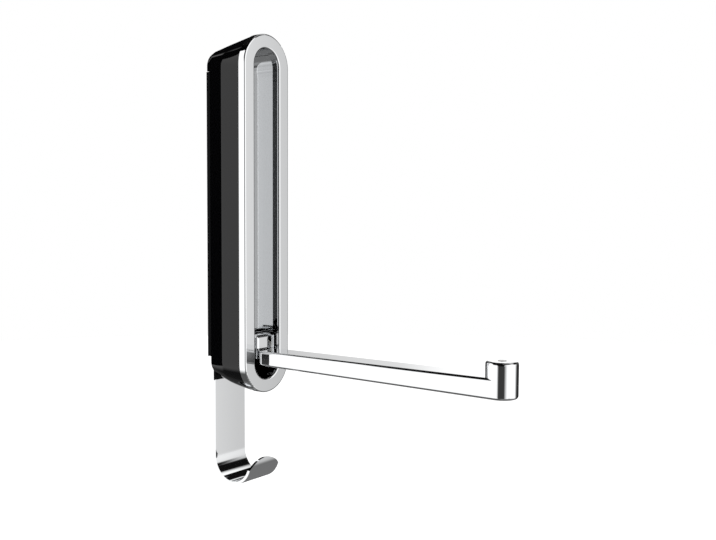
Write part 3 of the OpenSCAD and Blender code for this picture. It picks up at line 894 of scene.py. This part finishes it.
@dataclass(frozen=True)
class Surround:
    """What the plating mirrors: light and dark studio panels round the object, a dark roof and a grey floor.

    The panels are given as tones from 0 to 255 at azimuths in degrees, with +x at 0 and +y at 90, and are
    fixed in the room. The photograph's camera stands at about -134 degrees seen from the body, and at about
    -151 degrees seen from the arm's tip, whose post shows the dark panels there in its middle.

    Attributes:
        high: Panels above the edge, as (azimuth, tone).
        low: Panels below the edge.
        edge: Elevation of the edge between the two rows of panels, in degrees.
        edge_soft: Half the width of that edge in degrees.
        shade: Share of the high panels' light beside the camera, as (azimuth, share).
        shade_rise: Elevations between which that shade ends.
        roof: Elevation from which the dark roof shows, as (azimuth, elevation).
        lamp: Elevation from which the white light in the roof shows, in the same way.
        roof_soft: Width of these changes in degrees.
        roof_tone: Tone of the roof.
        floor: Elevations between which the low panels turn to the floor.
        floor_tones: Tones of the floor, as (azimuth, tone).
        white: Strength of a panel of tone 255.
        fill: Strength of the light that matt surfaces get from all round.
    """

    high: Stops = (
        (-180, 170), (-176, 0), (-138.2, 0), (-137.2, 172), (-127, 190), (-120, 232), (-113, 255), (-53, 255),
        (-48, 235), (-44.5, 211), (-41.8, 197), (-38, 160), (-34, 90), (-28, 60), (4, 70), (15, 190),
        (20, 255), (31.5, 255), (35, 214), (42, 198), (47, 60), (92, 45), (98, 255), (172, 255), (180, 170),
    )
    low: Stops = (
        (-180, 170), (-176, 55), (-135.7, 55), (-134, 112), (-127, 180), (-120, 228), (-113, 255), (-52, 255),
        (-48, 225), (-45.4, 200), (-41.8, 186), (-38, 140), (-34, 70), (-28, 45), (92, 30), (98, 255),
        (172, 255), (180, 170),
    )
    edge: float = -9.2
    edge_soft: float = 0.4
    shade: Stops = ((-180, 1), (-138.6, 1), (-138.2, 0), (-135.7, 0), (-135.2, 1), (180, 1))
    shade_rise: tuple[float, float] = (-8.7, -8.3)
    roof: Stops = (
        (-180, 8), (-138, 8), (-128, 40), (-60, 44), (-52, 22), (-48, 12), (-45, 14), (-42, 22), (-24, 27),
        (10, 24), (32, 20), (45, 15), (60, 20), (76, 32), (111, 41), (130, 36), (146, 14), (172, 14),
        (180, 8),
    )
    lamp: Stops = ((-180, 95), (-26, 95), (-22, 43), (4, 43), (10, 95), (180, 95))
    roof_soft: float = 5.0
    roof_tone: int = 14
    floor: tuple[float, float] = (-22.0, -34.0)
    floor_tones: Stops = ((-180, 80), (-170, 80), (-160, 110), (90, 110), (100, 80), (180, 80))
    white: float = 1.15
    fill: float = 0.8

    def build(self) -> bpy.types.World:
        """Build the world; camera rays see pure white, mirror rays the panels, all others an even fill.

        Returns:
            The world, set on the scene.
        """
        world = bpy.data.worlds.new("studio_surround")
        bpy.context.scene.world = world
        tree = empty_tree(world)
        place = add_node(tree, "ShaderNodeTexCoord").outputs["Generated"]
        parts = add_node(tree, "ShaderNodeSeparateXYZ", {0: place}).outputs
        turn = add_node(tree, "ShaderNodeMath", {0: parts[1], 1: parts[0]}, operation="ARCTAN2").outputs[0]
        whole = {"Value": turn, "From Min": -math.pi, "From Max": math.pi}
        share = add_node(tree, "ShaderNodeMapRange", whole).outputs[0]
        rise = add_node(tree, "ShaderNodeMath", {0: parts[2]}, operation="ARCSINE").outputs[0]
        rows = (self.high, self.low, self.floor_tones)
        high, low, ground = (self.tones(tree, share, stops) for stops in rows)
        shade = self.ramp(tree, share, self.shade)
        lit = self.step(tree, rise, *self.shade_rise)
        clear = add_node(tree, "ShaderNodeMath", {0: shade, 1: lit}, operation="MAXIMUM").outputs[0]
        high = add_node(tree, "ShaderNodeMath", {0: high, 1: clear}, operation="MULTIPLY").outputs[0]
        upper = self.step(tree, rise, self.edge - self.edge_soft, self.edge + self.edge_soft)
        belt = self.blend(tree, upper, low, high)
        belt = self.blend(tree, self.step(tree, rise, *self.floor), belt, ground)
        for starts, tone in ((self.roof, self.roof_tone), (self.lamp, 255)):
            start = self.ramp(tree, share, [(a, math.radians(v)) for a, v in starts])
            above = add_node(tree, "ShaderNodeMath", {0: rise, 1: start}, operation="SUBTRACT").outputs[0]
            belt = self.blend(tree, self.step(tree, above, 0.0, self.roof_soft), belt, self.strength(tone))
        path = add_node(tree, "ShaderNodeLightPath").outputs
        bright = self.blend(tree, path["Is Glossy Ray"], self.fill, belt)
        seen = {0: path["Is Camera Ray"], 1: path["Is Transmission Ray"]}
        open_rays = add_node(tree, "ShaderNodeMath", seen, operation="MAXIMUM").outputs[0]
        bright = self.blend(tree, open_rays, bright, 1.0)
        light = add_node(tree, "ShaderNodeBackground", {"Color": linear("#FFFFFF"), "Strength": bright})
        add_node(tree, "ShaderNodeOutputWorld", {"Surface": light.outputs[0]})
        LOG.info("surround: %d high and %d low panels", len(self.high), len(self.low))
        return world

    def strength(self, tone: int) -> float:
        """Turn a tone from 0 to 255 into the linear strength of light that shows it."""
        return linear(f"{tone:02X}" * 3)[0] * self.white

    def tones(
        self, tree: bpy.types.NodeTree, share: bpy.types.NodeSocket, stops: Stops
    ) -> bpy.types.NodeSocket:
        """Look the strength of light up by azimuth, from stops that give tones."""
        return self.ramp(tree, share, [(azimuth, self.strength(tone)) for azimuth, tone in stops])

    def ramp(
        self, tree: bpy.types.NodeTree, share: bpy.types.NodeSocket, stops: Sequence[tuple[float, float]]
    ) -> bpy.types.NodeSocket:
        """Look a value up by azimuth.

        Args:
            tree: Node tree of the world.
            share: Azimuth from 0 at -180 degrees to 1 at 180 degrees.
            stops: Pairs of azimuth in degrees and value.

        Returns:
            The value between the stops.
        """
        top = max(v for _, v in stops)
        node = add_node(tree, "ShaderNodeValToRGB", {0: share})
        elements = node.color_ramp.elements
        while len(elements) < len(stops):
            elements.new(0.5)
        for element, (azimuth, _) in zip(elements, stops):
            element.position = (azimuth + 180) / 360
        for element, (_, value) in zip(elements, stops):
            element.color = (value / top, value / top, value / top, 1.0)
        return add_node(tree, "ShaderNodeMath", {0: node.outputs[0], 1: top}, operation="MULTIPLY").outputs[0]

    def step(
        self, tree: bpy.types.NodeTree, value: bpy.types.NodeSocket, start: float, end: float
    ) -> bpy.types.NodeSocket:
        """Rise smoothly from 0 to 1 as a value in radians goes from start to end in degrees."""
        inputs = {"Value": value, "From Min": math.radians(start), "From Max": math.radians(end)}
        return add_node(tree, "ShaderNodeMapRange", inputs, interpolation_type="SMOOTHSTEP").outputs[0]

    def blend(
        self,
        tree: bpy.types.NodeTree,
        factor: bpy.types.NodeSocket,
        first: Union[float, bpy.types.NodeSocket],
        second: Union[float, bpy.types.NodeSocket],
    ) -> bpy.types.NodeSocket:
        """Mix two strengths: factor 0 gives the first and factor 1 the second."""
        return add_node(tree, "ShaderNodeMix", {0: factor, 2: first, 3: second}, data_type="FLOAT").outputs[0]


@dataclass
class Studio:
    """Surround, pale floor, soft lights and a black flag behind the body that keeps its rear edge dark.

    Attributes:
        floor: Height of the floor below the wall mounted body.
        floor_radius: Radius of the floor.
        floor_sides: Number of sides of the floor's outline.
        floor_colour: Colour of the floor's paper.
        floor_glow: Light that the paper adds for the camera alone, so that it looks white round its shadow.
        flag: Ends of the flag behind the body, seen from above, as (x, y).
        flag_span: Heights of the flag's lower and upper edge.
        flag_colour: Colour of the flag's felt.
        softboxes: Name, position and power in watts of each soft light.
        softbox_size: Side of the square lights.
        aim: Point that the lights look at.
    """

    floor: float = -1.35
    floor_radius: float = 9.0
    floor_sides: int = 96
    floor_colour: str = "#EDEDED"
    floor_glow: float = 0.5
    flag: tuple[tuple[float, float], tuple[float, float]] = ((-0.0795, 0.0494), (-0.041, 0.067))
    flag_span: tuple[float, float] = (-0.166, 0.300)
    flag_colour: str = "#060606"
    softboxes: tuple[tuple[str, Point, float], ...] = (
        ("key_softbox", (-0.9, -1.3, 1.5), 9.0),
        ("fill_softbox", (1.4, -0.8, 1.2), 5.0),
    )
    softbox_size: float = 1.2
    aim: Point = (0.0, -0.1, 0.0)

    def build(self) -> None:
        """Set the surround, the floor, the flag and the lights."""
        Surround().build()
        self.floor_disc()
        self.black_flag()
        for name, place, power in self.softboxes:
            self.softbox(name, place, power)

    def stand(self, name: str, mesh: bmesh.types.BMesh, material: bpy.types.Material) -> bpy.types.Object:
        """Add a piece of studio equipment, which isn't part of the object.

        Args:
            name: Name of the piece.
            mesh: Its geometry, which is freed here.
            material: Its material.

        Returns:
            The piece.
        """
        piece = new_object(name, mesh, material)
        return piece

    def floor_disc(self) -> None:
        """Lay a pale paper floor that looks white and keeps a soft shadow."""
        mesh = bmesh.new()
        size = {"segments": self.floor_sides, "radius": self.floor_radius}
        place = Matrix.Translation((0, 0, self.floor))
        bmesh.ops.create_circle(mesh, cap_ends=True, matrix=place, **size)
        material = bpy.data.materials.new("studio_floor_paper")
        tree = empty_tree(material)
        path = add_node(tree, "ShaderNodeLightPath").outputs
        seen = {0: path["Is Camera Ray"], 1: self.floor_glow}
        lift = add_node(tree, "ShaderNodeMath", seen, operation="MULTIPLY")
        paper = add_node(tree, "ShaderNodeBsdfDiffuse", {"Color": linear(self.floor_colour)})
        glow = add_node(tree, "ShaderNodeEmission", {"Color": linear("#FFFFFF"), "Strength": lift.outputs[0]})
        both = add_node(tree, "ShaderNodeAddShader", {0: paper.outputs[0], 1: glow.outputs[0]})
        add_node(tree, "ShaderNodeOutputMaterial", {"Surface": both.outputs[0]})
        floor = self.stand("studio_floor", mesh, material)
        floor.visible_glossy = False

    def black_flag(self) -> None:
        """Stand a narrow black flag behind the body, seen by reflections only."""
        mesh = bmesh.new()
        corners = [(*self.flag[i], self.flag_span[j]) for i, j in ((0, 0), (1, 0), (1, 1), (0, 1))]
        mesh.faces.new([mesh.verts.new(corner) for corner in corners])
        material = bpy.data.materials.new("studio_black_felt")
        tree = empty_tree(material)
        felt = add_node(tree, "ShaderNodeBsdfDiffuse", {"Color": linear(self.flag_colour), "Roughness": 1.0})
        add_node(tree, "ShaderNodeOutputMaterial", {"Surface": felt.outputs[0]})
        flag = self.stand("studio_flag", mesh, material)
        flag.visible_camera = False
        flag.visible_diffuse = False
        flag.visible_shadow = False

    def softbox(self, name: str, place: Point, power: float) -> None:
        """Hang a large soft light that looks at the object.

        Args:
            name: Name of the light.
            place: Position in metres.
            power: Power in watts.
        """
        data = bpy.data.lights.new(name, "AREA")
        data.shape = "SQUARE"
        data.size = self.softbox_size
        data.energy = power
        lamp = bpy.data.objects.new(name, data)
        lamp.location = place
        lamp.rotation_euler = (Vector(self.aim) - Vector(place)).to_track_quat("-Z", "Y").to_euler()
        lamp.visible_glossy = False
        bpy.context.scene.collection.objects.link(lamp)


def main() -> None:
    """Build the object, the camera and the studio."""
    logging.basicConfig(level=logging.INFO, format="%(name)s %(message)s")
    bpy.context.scene.view_settings.view_transform = "Standard"
    PhotoCamera().build()
    WallBody().build()
    Hinge().build()
    HangerArm().build()
    CoatHook().build()
    Studio().build()


if __name__ == "__main__":
    main()
